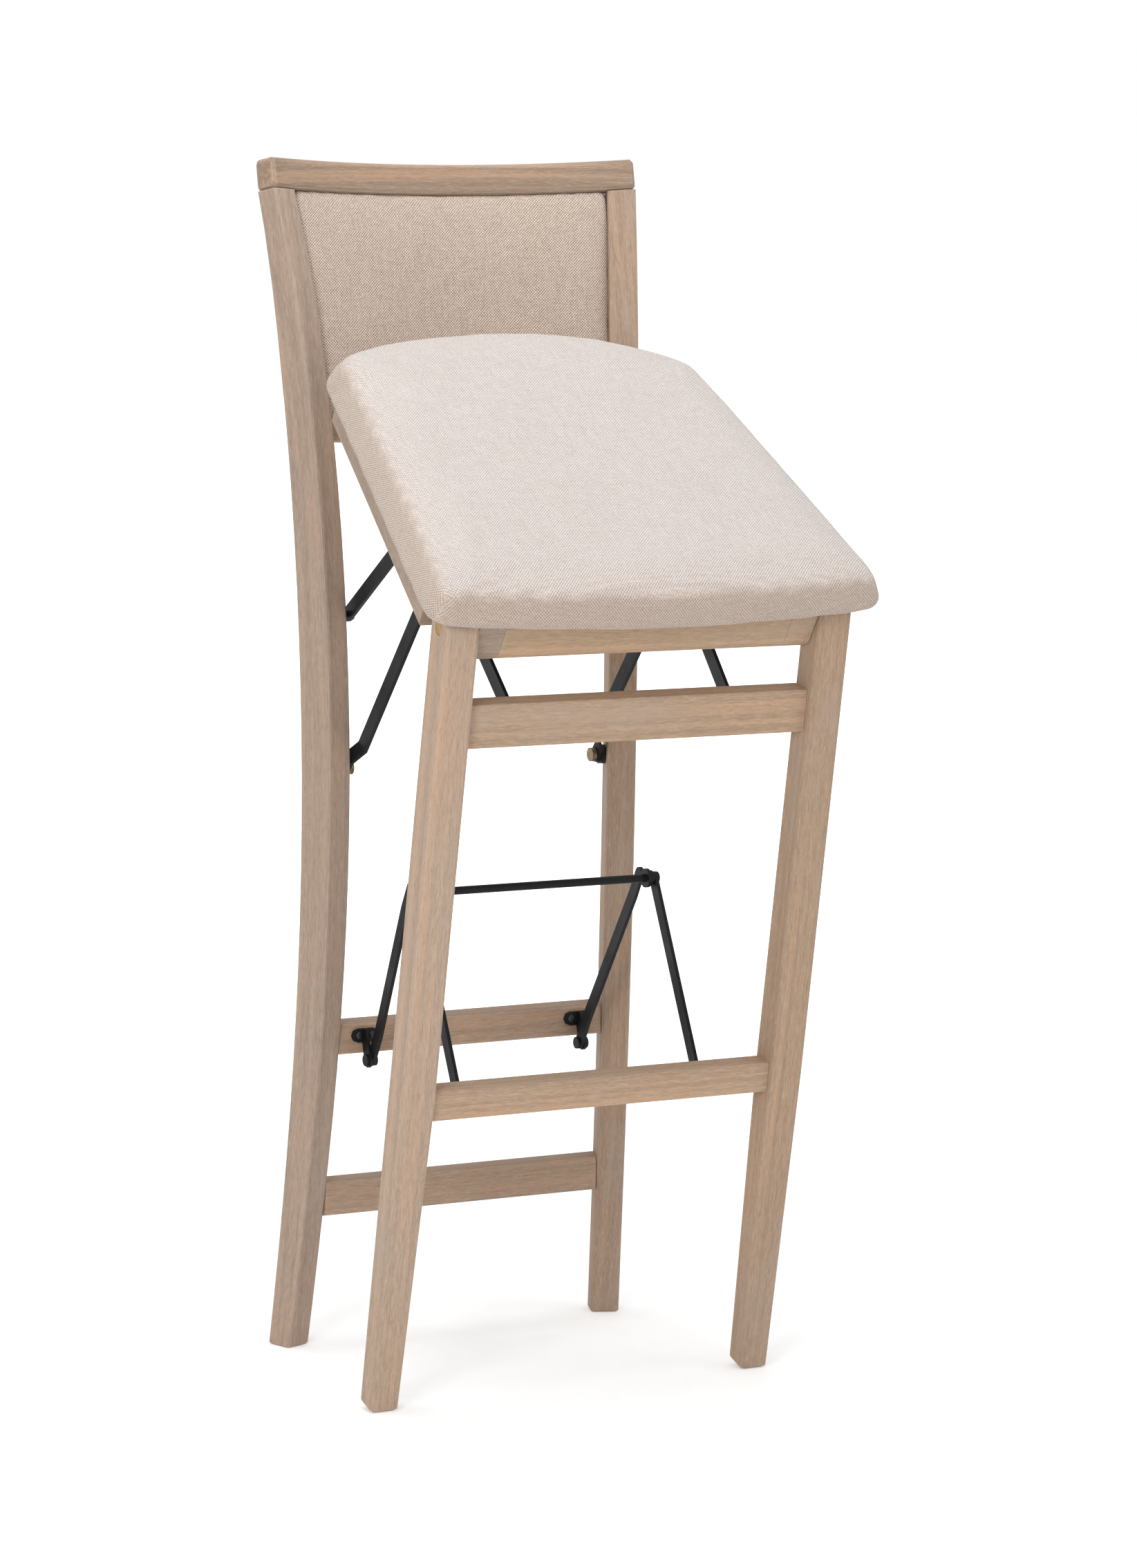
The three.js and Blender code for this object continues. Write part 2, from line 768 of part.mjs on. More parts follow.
const longBraceLowX = betweenPosts(longBraceLowYZ[0]) - longBracePostGap;
const shortBraceLowX = betweenPosts(shortBraceLowYZ[0]) - shortBracePostGap;

function longBrace() {
  const low = longBraceLowYZ;
  const high = longBraceHighYZ;
  const solid = strap(
    [
      at(longBraceLowX, low),
      at(longBraceLowX, between(low, high, longBraceTab)),
      at(longBraceX, between(low, high, longBraceKnee)),
      at(longBraceX, high),
    ],
    longBraceWidth,
    longBraceThick,
  );
  return cut(
    solid,
    rod(postBoltRadius + boreGap, longBraceLowX - longBraceWidth, longBraceLowX + longBraceWidth, low),
    rod(rivetRadius + boreGap, longBraceX - longBraceWidth, longBraceX + longBraceWidth, high),
  );
}

function postBolt() {
  const inner = longBraceLowX - longBraceThick / 2 - jointGap;
  return turned(
    [
      [postBoltHead, inner - postBoltHeadThick],
      [postBoltHead, inner],
      [postBoltRadius, inner],
      [postBoltRadius, betweenPosts(longBraceLowYZ[0]) + postBoltReach - jointGap],
    ],
    longBraceLowYZ,
  );
}

// The bushing's outer end is cut to the toed face of the post.
function postBushing() {
  const from = longBraceLowX + longBraceThick / 2 + jointGap;
  const [y, z] = longBraceLowYZ;
  const circle = Array.from({ length: roundSteps }, (unused, i) => {
    const angle = (2 * Math.PI * i) / roundSteps;
    return [y + bushingRadius * Math.cos(angle), z + bushingRadius * Math.sin(angle)];
  });
  const solid = loft([
    circle.map(([v, w]) => [from, v, w]),
    circle.map(([v, w]) => [betweenPosts(v) - jointGap, v, w]),
  ]);
  return cut(solid, rod(postBoltRadius + boreGap, from - legWidth, from + legWidth, longBraceLowYZ));
}

function shortBrace() {
  const solid = strap([at(shortBraceLowX, shortBraceLowYZ), at(shortBraceHighX, shortBraceHighYZ)],
    shortBraceWidth, linkThick);
  const studEnd = seatRailInner(inSeat(shortBraceHighYZ)[0]) - shortBraceStudGap;
  const stud = rod(rivetHead, shortBraceHighX, studEnd, shortBraceHighYZ);
  const bored = cut(solid, rod(rivetRadius + boreGap, shortBraceLowX - shortBraceWidth,
    shortBraceLowX + shortBraceWidth, shortBraceLowYZ));
  return join(bored, stud);
}

function braceRivet() {
  const inner = shortBraceLowX - linkThick / 2 - jointGap;
  return turned(
    [
      [rivetHead, inner - rivetHeadThick],
      [rivetHead, inner],
      [rivetRadius, inner],
      [rivetRadius, betweenPosts(shortBraceLowYZ[0]) + postBoltReach - jointGap],
    ],
    shortBraceLowYZ,
  );
}

// The cross brace carries the spacer pin that meets the long brace.
function crossBrace() {
  const solid = strap([at(crossBraceLowX, crossBraceLowYZ), at(crossBraceHighX, crossBraceHighYZ)],
    crossBraceWidth, linkThick);
  const meets = longBraceX - longBraceThick / 2 - 2 * jointGap;
  const pin = rod(rivetHead, crossBraceHighX - linkThick / 2 - rivetHeadThick, meets, crossBraceHighYZ);
  const bored = cut(solid, rod(rivetRadius + boreGap, crossBraceLowX - crossBraceWidth,
    crossBraceLowX + crossBraceWidth, crossBraceLowYZ));
  return join(bored, pin);
}

// The rear link passes behind the cross rod, and leans outwards between two straight ends.
function rearLink() {
  const low = spreaderRearYZ;
  const high = rearLinkTopYZ;
  const solid = strap(
    [
      at(rearLinkLowX, low),
      at(rearLinkLowX, between(low, high, rearLinkTab)),
      at(rearLinkHighX, between(high, low, rearLinkKnee)),
      at(rearLinkHighX, high),
    ],
    spreaderWidth,
    linkThick,
  );
  return cut(solid, rod(rivetRadius + boreGap, rearLinkLowX - linkThick, rearLinkLowX + linkThick, low));
}

function frontLink() {
  const ends = [at(frontLinkX, spreaderFrontYZ), at(frontLinkX, crossRodYZ)];
  const solid = strap(ends, spreaderWidth, linkThick);
  const head = rod(rivetHead, frontLinkX, frontLinkX + linkThick / 2 + rivetHeadThick, crossRodYZ);
  const bore = rod(rivetRadius + boreGap, frontLinkX - linkThick, frontLinkX + linkThick, spreaderFrontYZ);
  return join(cut(solid, bore), head);
}

// The rod ends in two discs, a wide one beside the rear link and a small one that reaches the front link.
function crossRod() {
  const middle = rearLinkHighX - linkThick / 2 - jointGap;
  const end = frontLinkX - linkThick / 2 - 2 * jointGap;
  const half = [
    [rodRadius, middle - hubThick],
    [hubRadius, middle - hubThick],
    [hubRadius, middle],
    [hubEndRadius, middle],
    [hubEndRadius, end],
  ];
  const mirrored = half.toReversed().map(([radius, x]) => [radius, -x]);
  return turned([...mirrored, ...half], crossRodYZ);
}

// Side view of an ear that runs from a plate down to a round end about its pivot.
function earOutline([py, pz], plateFace, low, high, way) {
  const start = way > 0 ? 0 : Math.PI;
  const round = Array.from({ length: earSteps + 1 }, (unused, i) => {
    const angle = start - way * (i / earSteps) * Math.PI;
    return [py + earRound * Math.cos(angle), pz + earRound * Math.sin(angle)];
  });
  return [[plateFace, low], [plateFace, high], [plateFace + way * earRound, high], ...round];
}

function spreaderRearBracket() {
  const face = rearUpperY - jointGap;
  const earInner = rearLinkLowX + linkThick / 2 + jointGap;
  const section = roundedRing([rearPlateInner, rearPlateLow], [rearPlateOuter, rearPlateHigh],
    rearPlateRound);
  const plate = loft([face - bracketThick, face].map((y) => section.map(([x, z]) => [x, y, z])));
  const outline = earOutline(spreaderRearYZ, face, rearPlateLow, rearPlateHigh, -1);
  const ear = sidePlate(outline, earInner, earInner + bracketThick);
  const bore = rod(rivetRadius + boreGap, earInner - bracketThick, earInner + 2 * bracketThick,
    spreaderRearYZ);
  return cut(join(plate, ear), bore);
}

function rearBracketRivet() {
  const to = rearLinkLowX + linkThick / 2 + 2 * jointGap + bracketThick;
  return rivet(rearLinkLowX - linkThick / 2 - jointGap, to, spreaderRearYZ);
}

function footrestBracket() {
  const face = footrestSetback + footrestDepth + jointGap;
  const pivot = inFrontFrame(spreaderFrontYZ);
  const earInner = frontLinkX + linkThick / 2 + jointGap;
  const plate = block([footrestPlateInner, face, footrestPlateLow],
    [footrestPlateOuter, face + bracketThick, footrestPlateHigh]);
  const outline = earOutline(pivot, face, footrestPlateLow, footrestPlateHigh, 1);
  const ear = sidePlate(outline, earInner, earInner + bracketThick);
  return leanForward(cut(join(plate, ear), rod(rivetRadius + boreGap, earInner - bracketThick,
    earInner + 2 * bracketThick, pivot)));
}

function footrestRivet() {
  const to = frontLinkX + linkThick / 2 + 2 * jointGap + bracketThick;
  return rivet(frontLinkX - linkThick / 2 - jointGap, to, spreaderFrontYZ);
}

function stretcherBracket() {
  const face = upperStretcherSetback + upperStretcherDepth + jointGap;
  const pivot = inFrontFrame(crossBraceLowYZ);
  const earInner = crossBraceLowX + linkThick / 2 + jointGap;
  const plate = block([stretcherPlateInner, face, stretcherPlateLow],
    [stretcherPlateOuter, face + bracketThick, stretcherPlateHigh]);
  const outline = earOutline(pivot, face, stretcherPlateLow, stretcherPlateHigh, 1);
  const ear = sidePlate(outline, earInner, earInner + bracketThick);
  return leanForward(cut(join(plate, ear), rod(rivetRadius + boreGap, earInner - bracketThick,
    earInner + 2 * bracketThick, pivot)));
}

function stretcherRivet() {
  const to = crossBraceLowX + linkThick / 2 + 2 * jointGap + bracketThick;
  return rivet(crossBraceLowX - linkThick / 2 - jointGap, to, crossBraceLowYZ);
}

function seatBracket() {
  const pivot = inSeat(longBraceHighYZ);
  const inner = longBraceX + longBraceThick / 2 + jointGap;
  const outer = inner + seatEarThick;
  const corners = roundedRing([seatEarFront, seatEarLow], [seatEarRear, seatRailTop], seatEarRound)
    .filter(([, n]) => n < 0);
  const outline = [[seatEarRear, seatRailTop], [seatEarFront, seatRailTop], ...corners];
  const ear = sidePlate(outline, inner, outer);
  const flange = block([inner, seatEarFront, seatRailTop - bracketThick],
    [inner + seatFlangeWidth, seatEarRear, seatRailTop]);
  const bore = rod(rivetRadius + boreGap, inner - seatEarThick, outer + seatEarThick, pivot);
  return onSeat(cut(join(ear, flange), bore));
}

function seatBracketRivet() {
  const inner = longBraceX - longBraceThick / 2 - jointGap;
  return rivet(inner, longBraceX + longBraceThick / 2 + 2 * jointGap + seatEarThick, longBraceHighYZ);
}

const pairs = {
  rear_post: rearPost(),
  front_leg: frontLeg(),
  seat_side_rail: seatSideRail(),
  seat_pivot_block: seatPivotBlock(),
  leg_plug: legPlug(),
  leg_pivot_bolt: pivotBolt(),
  long_brace: longBrace(),
  short_brace: shortBrace(),
  cross_brace: crossBrace(),
  spreader_rear_link: rearLink(),
  spreader_front_link: frontLink(),
  post_bolt: postBolt(),
  post_bushing: postBushing(),
  brace_rivet: braceRivet(),
  spreader_rear_bracket: spreaderRearBracket(),
  rear_bracket_rivet: rearBracketRivet(),
  footrest_bracket: footrestBracket(),
  footrest_rivet: footrestRivet(),
  stretcher_bracket: stretcherBracket(),
  stretcher_rivet: stretcherRivet(),
  seat_bracket: seatBracket(),
  seat_bracket_rivet: seatBracketRivet(),
};

const singles = {
  crest_rail: crestRail(),
  back_panel: backPanel(),
  back_pad: backPad(),
  lower_back_rail: lowerBackRail(),
  rear_upper_stretcher: postRail(rearUpperY, rearUpperDepth, rearUpperZ, rearUpperHeight),
  rear_lower_stretcher: postRail(rearLowerY, rearLowerDepth, rearLowerZ, rearLowerHeight),
  front_upper_stretcher: legRail(upperStretcherSetback, upperStretcherDepth, upperStretcherBase,
    upperStretcherHeight),
  footrest: legRail(footrestSetback, footrestDepth, footrestBase, footrestHeight),
  seat_front_rail: seatFrontRail(),
  seat_rear_rail: seatRearRail(),
  seat_board: seatBoard(),
  seat_cushion: seatCushion(),
  spreader_cross_rod: crossRod(),
};

const stool = new THREE.Group();

function add(name, geometry, side) {
  const mesh = new THREE.Mesh(geometry, new THREE.MeshStandardMaterial());
  mesh.name = name;
  mesh.scale.x = side;
  stool.add(mesh);
}

for (const [name, geometry] of Object.entries(pairs)) {
  add(`${name}_right`, geometry, 1);
  add(`${name}_left`, geometry, -1);
}
for (const [name, geometry] of Object.entries(singles)) add(name, geometry, 1);

const bounds = new THREE.Box3().setFromObject(stool, true);
stool.position.y = -bounds.getCenter(new THREE.Vector3()).y;
stool.position.z = -bounds.min.z;

export default stool;
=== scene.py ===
import math

import bmesh
import bpy
from mathutils import Matrix, Vector


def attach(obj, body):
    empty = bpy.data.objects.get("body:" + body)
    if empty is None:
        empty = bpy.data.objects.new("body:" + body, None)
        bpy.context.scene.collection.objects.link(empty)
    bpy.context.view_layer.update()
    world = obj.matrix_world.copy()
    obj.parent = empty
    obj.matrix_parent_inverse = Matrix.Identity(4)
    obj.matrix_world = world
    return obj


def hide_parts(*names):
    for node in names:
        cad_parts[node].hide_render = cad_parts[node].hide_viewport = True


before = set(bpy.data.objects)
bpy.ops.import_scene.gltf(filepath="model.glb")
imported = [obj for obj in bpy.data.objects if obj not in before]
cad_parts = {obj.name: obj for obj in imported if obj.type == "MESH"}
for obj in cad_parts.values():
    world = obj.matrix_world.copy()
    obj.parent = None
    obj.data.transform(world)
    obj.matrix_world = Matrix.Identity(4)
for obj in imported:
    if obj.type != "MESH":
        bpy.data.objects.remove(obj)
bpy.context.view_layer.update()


scene = bpy.context.scene

# Leans of the frames, and directions along them
SEAT_TILT = math.radians(31.5)
LEG_LEAN = math.radians(9.31)
BACK_LEAN = math.radians(12.5)
X = Vector((1, 0, 0))
Y = Vector((0, 1, 0))
POST_UP = Vector((0, 0, 1))
SEAT_ALONG = Vector((0, math.cos(SEAT_TILT), math.sin(SEAT_TILT)))
SEAT_UP = Vector((0, -math.sin(SEAT_TILT), math.cos(SEAT_TILT)))
LEG_UP = Vector((0, -math.sin(LEG_LEAN), math.cos(LEG_LEAN)))
LEG_BACK = Vector((0, math.cos(LEG_LEAN), math.sin(LEG_LEAN)))
BACK_UP = Vector((0, math.sin(BACK_LEAN), math.cos(BACK_LEAN)))
BACK_FACE = Vector((0, -math.cos(BACK_LEAN), math.sin(BACK_LEAN)))

# Bow of the posts as a cubic of height, and radius of the back, in metres
BOW_CUBE = 0.0781
BOW_SQUARE = 0.0952
BOW_LINE = -0.1593
BACK_RADIUS = 0.5316

# Places on the stool, in metres
SEAT_PIVOT = Vector((0, -0.189975, 0.7048))
LEG_FOOT_Y = -0.089575
REAR_PLATE_Y = 0.127025

# Camera, solved from the photo
CAMERA_PLACE = Vector((-2.06178, -3.97422, 1.18041))
CAMERA_YAW = math.radians(27.74)
CAMERA_PITCH = math.radians(8.18)
CAMERA_ROLL = math.radians(1.03)
CAMERA_REACH = 50
FOCAL_PIXELS = 7321.63
PHOTO_HEIGHT = 2268
SENSOR = 36.0


def add_camera():
    data = bpy.data.cameras.new("camera")
    data.sensor_fit = "VERTICAL"
    data.sensor_height = SENSOR
    data.lens = FOCAL_PIXELS * SENSOR / PHOTO_HEIGHT
    data.clip_end = CAMERA_REACH
    forward = Vector((
        math.sin(CAMERA_YAW) * math.cos(CAMERA_PITCH),
        math.cos(CAMERA_YAW) * math.cos(CAMERA_PITCH),
        -math.sin(CAMERA_PITCH),
    ))
    level = Vector((math.cos(CAMERA_YAW), -math.sin(CAMERA_YAW), 0))
    up = level.cross(forward)
    right = math.cos(CAMERA_ROLL) * level + math.sin(CAMERA_ROLL) * up
    top = math.cos(CAMERA_ROLL) * up - math.sin(CAMERA_ROLL) * level
    camera = bpy.data.objects.new("camera", data)
    scene.collection.objects.link(camera)
    turn = Matrix((right, top, -forward)).transposed().to_4x4()
    camera.matrix_world = Matrix.Translation(CAMERA_PLACE) @ turn
    scene.camera = camera


add_camera()


# Materials
class Nodes:
    """A node tree with one Principled shader."""

    def __init__(self, name):
        self.material = bpy.data.materials.new(name)
        self.material.use_nodes = True
        self.tree = self.material.node_tree
        self.shader = next(n for n in self.tree.nodes if n.type == "BSDF_PRINCIPLED")

    def add(self, kind, **settings):
        node = self.tree.nodes.new(kind)
        for key, value in settings.items():
            setattr(node, key, value)
        return node

    def plug(self, value, socket):
        """Links a node's output to a socket, or sets the socket to a plain value."""
        if isinstance(value, bpy.types.NodeSocket):
            self.tree.links.new(value, socket)
        else:
            socket.default_value = value

    def place(self):
        return self.add("ShaderNodeTexCoord").outputs["Object"]

    def dot(self, a, b):
        node = self.add("ShaderNodeVectorMath", operation="DOT_PRODUCT")
        self.plug(a, node.inputs[0])
        self.plug(b, node.inputs[1])
        return node.outputs["Value"]

    def math(self, operation, a, b=0.0):
        node = self.add("ShaderNodeMath", operation=operation)
        self.plug(a, node.inputs[0])
        self.plug(b, node.inputs[1])
        return node.outputs[0]

    def combine(self, x, y, z):
        node = self.add("ShaderNodeCombineXYZ")
        for value, socket in zip((x, y, z), node.inputs):
            self.plug(value, socket)
        return node.outputs[0]

    def noise(self, vector, scale, shift=(0, 0, 0), detail=2, rough=0.5):
        """Noise with its own scale, per metre, along each axis of the vector."""
        stretch = self.add("ShaderNodeMapping")
        self.plug(vector, stretch.inputs["Vector"])
        stretch.inputs["Scale"].default_value = scale
        stretch.inputs["Location"].default_value = shift
        node = self.add("ShaderNodeTexNoise")
        self.plug(stretch.outputs[0], node.inputs["Vector"])
        node.inputs["Scale"].default_value = 1.0
        node.inputs["Detail"].default_value = detail
        node.inputs["Roughness"].default_value = rough
        return node.outputs[0]

    def ramp(self, value, span, out=(0.0, 1.0)):
        """A smooth step over a span. A span that runs downwards gives a falling step."""
        node = self.add("ShaderNodeMapRange", interpolation_type="SMOOTHSTEP")
        self.plug(value, node.inputs["Value"])
        for name, number in zip(("From Min", "From Max", "To Min", "To Max"), (*span, *out)):
            node.inputs[name].default_value = number
        return node.outputs[0]

    def mix(self, share, a, b, blend="MIX"):
        node = self.add("ShaderNodeMix", data_type="RGBA", blend_type=blend)
        for value, number in ((share, 0), (a, 6), (b, 7)):
            self.plug(value, node.inputs[number])
        return node.outputs[2]

    def bump(self, height, distance):
        node = self.add("ShaderNodeBump")
        node.inputs["Distance"].default_value = distance
        node.inputs["Strength"].default_value = 1.0
        self.plug(height, node.inputs["Height"])
        self.plug(node.outputs[0], self.shader.inputs["Normal"])

    def set(self, **sockets):
        for name, value in sockets.items():
            self.plug(value, self.shader.inputs[name.replace("_", " ")])


# The sRGB curve, from values of 0 to 255
def srgb(red, green, blue):
    def linear(value):
        value /= 255
        return value / 12.92 if value <= 0.04045 else ((value + 0.055) / 1.055) ** 2.4

    return (linear(red), linear(green), linear(blue), 1.0)


# Wood: scales of its patterns, twice across the grain and once along it
FIBRE_SCALE = (900, 900, 70)
BAND_SCALE = (170, 170, 0.9)
CLOUD_SCALE = (22, 22, 4)
PORE_SCALE = (1300, 1300, 170)
SEED_SHIFT = (1.7, 2.3, 0.9)

# Wood: share of each layer, and the noise span over which it comes in
FIBRE_SHARE = 0.6
BAND_SHARE = 0.4
TONE_SPAN = (0.26, 0.74)
WARM_SHARE = 0.4
WARM_BAND_SPAN = (0.45, 0.65)
WARM_CLOUD_SPAN = (0.4, 0.6)
LIME_SHARE = 0.28
LIME_PORE_SPAN = (0.56, 0.72)
LIME_CLOUD_SPAN = (0.3, 0.6)
LIME_CLOUD_OUT = (1.0, 0.5)
PORE_SHARE = 0.34
PORE_SPAN = (0.42, 0.3)
ASH_SHARE = 0.3
ASH_SPAN = (0.46, 0.34)
RUBBED_SHARE = 0.3
RUBBED_TURN_SPAN = (0.995, 0.86)
RUBBED_CLOUD_SPAN = (0.35, 0.6)
RUBBED_RADIUS = 0.003
BEVEL_SAMPLES = 4
WOOD_ROUGH_SPAN = (0.3, 0.7)
WOOD_ROUGH = (0.6, 0.76)
WOOD_SHINE = 0.35
WOOD_BUMP = 0.0002
LIME_SINK = 0.5

# Wood: colours that all its pieces share
WARM = (206, 160, 124)
LIME = (228, 214, 202)
PORE = (132, 108, 90)
ASH = (178, 162, 150)
RUBBED = (224, 210, 196)


def post_bow(made, place):
    """Straightens the bow of the posts, so that the grain follows it."""
    height = made.dot(place, POST_UP)
    bow = made.math("MULTIPLY", height, BOW_CUBE)
    for term in (BOW_SQUARE, BOW_LINE):
        bow = made.math("MULTIPLY", made.math("ADD", bow, term), height)
    return made.combine(made.dot(place, X), made.math("SUBTRACT", made.dot(place, Y), bow), height)


def back_arc(made, place):
    """Straightens the curve of the crest, so that the grain follows it."""
    across = made.dot(place, X)
    sag = made.math("MULTIPLY", made.math("MULTIPLY", across, across), 0.5 / BACK_RADIUS)
    return made.combine(across, made.math("ADD", made.dot(place, Y), sag), made.dot(place, POST_UP))


def wood(name, grain, seed, light, dark, warm=WARM, straighten=None):
    """Whitewashed wood with its grain along a direction."""
    made = Nodes(name)
    grain = grain.normalized()
    side = grain.orthogonal().normalized()
    other = grain.cross(side)
    place = made.place()
    if straighten:
        place = straighten(made, place)
    along = made.combine(made.dot(place, side), made.dot(place, other), made.dot(place, grain))
    shift = tuple(seed * step for step in SEED_SHIFT)
    fibre = made.noise(along, FIBRE_SCALE, shift, detail=3)
    bands = made.noise(along, BAND_SCALE, shift, detail=3)
    cloud = made.noise(along, CLOUD_SCALE, shift, detail=3, rough=0.55)
    pores = made.noise(along, PORE_SCALE, shift, rough=0.45)

    tone = made.math("ADD", made.math("MULTIPLY", fibre, FIBRE_SHARE),
                     made.math("MULTIPLY", bands, BAND_SHARE))
    colour = made.mix(made.ramp(tone, TONE_SPAN), srgb(*dark), srgb(*light))
    warmth = made.math("MULTIPLY", made.ramp(bands, WARM_BAND_SPAN), made.ramp(cloud, WARM_CLOUD_SPAN))
    colour = made.mix(made.math("MULTIPLY", warmth, WARM_SHARE), colour, srgb(*warm))
    limed = made.math("MULTIPLY", made.ramp(pores, LIME_PORE_SPAN),
                      made.ramp(cloud, LIME_CLOUD_SPAN, LIME_CLOUD_OUT))
    colour = made.mix(made.math("MULTIPLY", limed, LIME_SHARE), colour, srgb(*LIME))
    dots = made.math("MULTIPLY", made.ramp(pores, PORE_SPAN), PORE_SHARE)
    colour = made.mix(dots, colour, srgb(*PORE))
    ash = made.math("MULTIPLY", made.ramp(cloud, ASH_SPAN), ASH_SHARE)
    colour = made.mix(ash, colour, srgb(*ASH))

    # The wash is paler where an edge turns.
    edge = made.add("ShaderNodeBevel", samples=BEVEL_SAMPLES)
    edge.inputs["Radius"].default_value = RUBBED_RADIUS
    turn = made.dot(edge.outputs[0], made.add("ShaderNodeNewGeometry").outputs["Normal"])
    rubbed = made.math("MULTIPLY", made.ramp(turn, RUBBED_TURN_SPAN), made.ramp(cloud, RUBBED_CLOUD_SPAN))
    colour = made.mix(made.math("MULTIPLY", rubbed, RUBBED_SHARE), colour, srgb(*RUBBED))

    made.set(Base_Color=colour, Roughness=made.ramp(fibre, WOOD_ROUGH_SPAN, WOOD_ROUGH),
             Specular_IOR_Level=WOOD_SHINE)
    made.bump(made.math("SUBTRACT", fibre, made.math("MULTIPLY", limed, LIME_SINK)), WOOD_BUMP)
    return made.material


# Linen: the weave's repeat, and scales of its irregularities per metre
THREAD_PITCH = 0.0027
WOBBLE_SCALE = (60, 60, 60)
WOBBLE = 4.0
SLUB_SCALES = ((60, 700, 700), (700, 60, 700))
FLECK_SCALE = (520, 520, 520)
WORN_SCALE = (14, 14, 14)

# Linen: share of each layer, and the span over which it comes in
FACING_POWER = 3.0
WEAVE_SHARE = 0.16
WORN_SHARE = 0.06
CLOTH_TONE_SPAN = (0.3, 0.7)
SPECK_SPAN = (0.63, 0.72)
SPECK_SHARE = 0.45
SPECK = (178, 146, 116)
# Painted shade on faces that turn away from up: where it comes in, and its tint
UPRIGHT_SHADE_SPAN = (0.96, 0.5)
UPRIGHT_SHADE_TINT = (0.81, 0.73, 0.66, 1.0)
WEAVE_HEIGHT = 0.6
SLUB_HEIGHT = 0.9
CLOTH_BUMP = 0.0007


def linen(name, along, up, light, dark, contrast, side_shade=0.0):
    """Coarse basket weave whose threads follow the cloth's own directions.

    Faces that turn away from up get painted shade, darker and warmer, by as much as the last argument
    gives.
    """
    made = Nodes(name)
    place = made.place()
    pitch = 2 * math.pi / THREAD_PITCH
    axes = (X, along, up)
    parts = [made.dot(place, axis) for axis in axes]
    flat = made.combine(*parts)
    drift = made.math("MULTIPLY", made.noise(flat, WOBBLE_SCALE), WOBBLE)
    phases = [made.math("ADD", made.math("MULTIPLY", part, pitch), drift) for part in parts]
    waves = [made.math("SINE", phase) for phase in phases]

    # Each face shows the two threads that cross on it.
    normal = made.add("ShaderNodeTexCoord").outputs["Normal"]
    facing = [made.math("POWER", made.math("ABSOLUTE", made.dot(normal, axis)), FACING_POWER)
              for axis in axes]
    total = made.math("ADD", made.math("ADD", facing[0], facing[1]), facing[2])
    crossings = [(waves[1], waves[2]), (waves[0], waves[2]), (waves[0], waves[1])]
    weave = None
    for (first, second), weight in zip(crossings, facing):
        share = made.math("MULTIPLY", made.math("MULTIPLY", first, second),
                          made.math("DIVIDE", weight, total))
        weave = share if weave is None else made.math("ADD", weave, share)

    slubs = [made.noise(flat, scale, rough=0.6) for scale in SLUB_SCALES]
    slub = made.math("MULTIPLY", made.math("ADD", *slubs), 0.5)
    fleck = made.noise(flat, FLECK_SCALE, rough=0.7)
    worn = made.noise(flat, WORN_SCALE)
    tone = made.math("ADD", made.math("MULTIPLY", slub, 0.5), made.math("MULTIPLY", fleck, 0.5))
    tone = made.math("ADD", tone, made.math("MULTIPLY", weave, WEAVE_SHARE * contrast))
    tone = made.math("ADD", tone, made.math("MULTIPLY", made.math("SUBTRACT", worn, 0.5), WORN_SHARE))
    colour = made.mix(made.ramp(tone, CLOTH_TONE_SPAN), srgb(*dark), srgb(*light))
    specks = made.math("MULTIPLY", made.ramp(fleck, SPECK_SPAN), SPECK_SHARE)
    colour = made.mix(specks, colour, srgb(*SPECK))
    # Painted shade: faces that turn away from up are darkened and warmed.
    upright_shade = made.math("MULTIPLY", made.ramp(made.dot(normal, up), UPRIGHT_SHADE_SPAN), side_shade)
    colour = made.mix(upright_shade, colour, UPRIGHT_SHADE_TINT, "MULTIPLY")

    made.set(Base_Color=colour, Roughness=0.92, Sheen_Weight=0.3, Sheen_Roughness=0.5,
             Specular_IOR_Level=0.15)
    made.bump(made.math("ADD", made.math("MULTIPLY", weave, WEAVE_HEIGHT),
                        made.math("MULTIPLY", slub, SLUB_HEIGHT)), CLOTH_BUMP)
    return made.material


# Black steel: satin paint with pale scuffs
PAINT_SPECK_SCALE = (260, 260, 260)
PAINT_CLOUD_SCALE = (30, 30, 30)
SCUFF_SPECK_SPAN = (0.6, 0.74)
SCUFF_CLOUD_SPAN = (0.5, 0.68)
SCUFF_SHARE = 0.4
PAINT = (19, 19, 21)
SCUFF = (96, 94, 92)
PAINT_ROUGH_SPAN = (0.3, 0.7)
PAINT_ROUGH = (0.5, 0.62)
PAINT_SHINE = 0.22
PAINT_BUMP = 0.0001


def black_steel():
    made = Nodes("black_steel")
    place = made.place()
    speck = made.noise(place, PAINT_SPECK_SCALE, detail=4, rough=0.6)
    cloud = made.noise(place, PAINT_CLOUD_SCALE, detail=3)
    scuff = made.math("MULTIPLY", made.ramp(speck, SCUFF_SPECK_SPAN), made.ramp(cloud, SCUFF_CLOUD_SPAN))
    colour = made.mix(made.math("MULTIPLY", scuff, SCUFF_SHARE), srgb(*PAINT), srgb(*SCUFF))
    made.set(Base_Color=colour, Roughness=made.ramp(cloud, PAINT_ROUGH_SPAN, PAINT_ROUGH),
             Specular_IOR_Level=PAINT_SHINE)
    made.bump(speck, PAINT_BUMP)
    return made.material


# Small metal and plastic pieces: fine tarnish, and brushing along X
TARNISH_SCALE = (300, 300, 300)
TARNISH_SPAN = (0.4, 0.7)
BRUSH_SCALE = (60, 1800, 1800)
BRUSH_SPAN = (0.3, 0.7)
BRUSH_ROUGH = 0.07
BRUSH_BUMP = 0.00004


